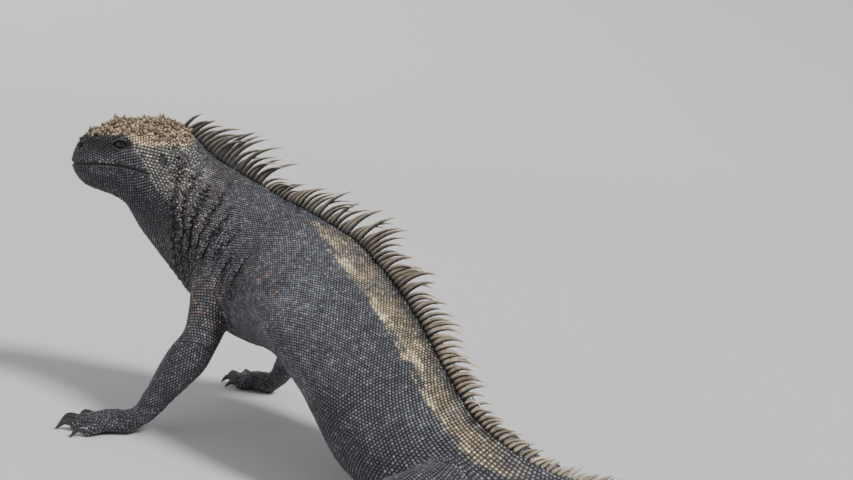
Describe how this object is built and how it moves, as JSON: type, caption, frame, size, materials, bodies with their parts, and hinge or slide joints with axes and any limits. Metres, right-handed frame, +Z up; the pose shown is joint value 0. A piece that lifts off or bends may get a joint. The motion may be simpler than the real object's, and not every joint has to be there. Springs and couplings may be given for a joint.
{
  "type": "marine iguana",
  "caption": "Life-size marine iguana resting with its chest raised on its forelegs, head held high, crest along the back and tail laid out behind.",
  "frame": {"origin": "middle of the animal's box, on the floor it rests on", "axes": "+Z up from the floor, +X towards the head along the box's longest side, +Y towards the animal's left side"},
  "size_m": [0.8054, 0.3654, 0.1996],
  "materials": {
    "skin": "dry, finely scaled, satin on the scales",
    "head_crust": "dry, rough, knobbly",
    "eye": "wet, glossy"
  },
  "bodies": {
    "root": {"head": "head_crust", "eye_left": "eye", "eye_right": "eye", "neck": "skin", "torso": "skin", "tail_base": "skin", "tail_middle": "skin", "tail_end": "skin", "upper_arm_left": "skin", "forearm_left": "skin", "forefoot_left": "skin", "thigh_left": "skin", "shin_left": "skin", "hindfoot_left": "skin", "upper_arm_right": "skin", "forearm_right": "skin", "forefoot_right": "skin", "thigh_right": "skin", "shin_right": "skin", "hindfoot_right": "skin"}
  },
  "joints": []
}
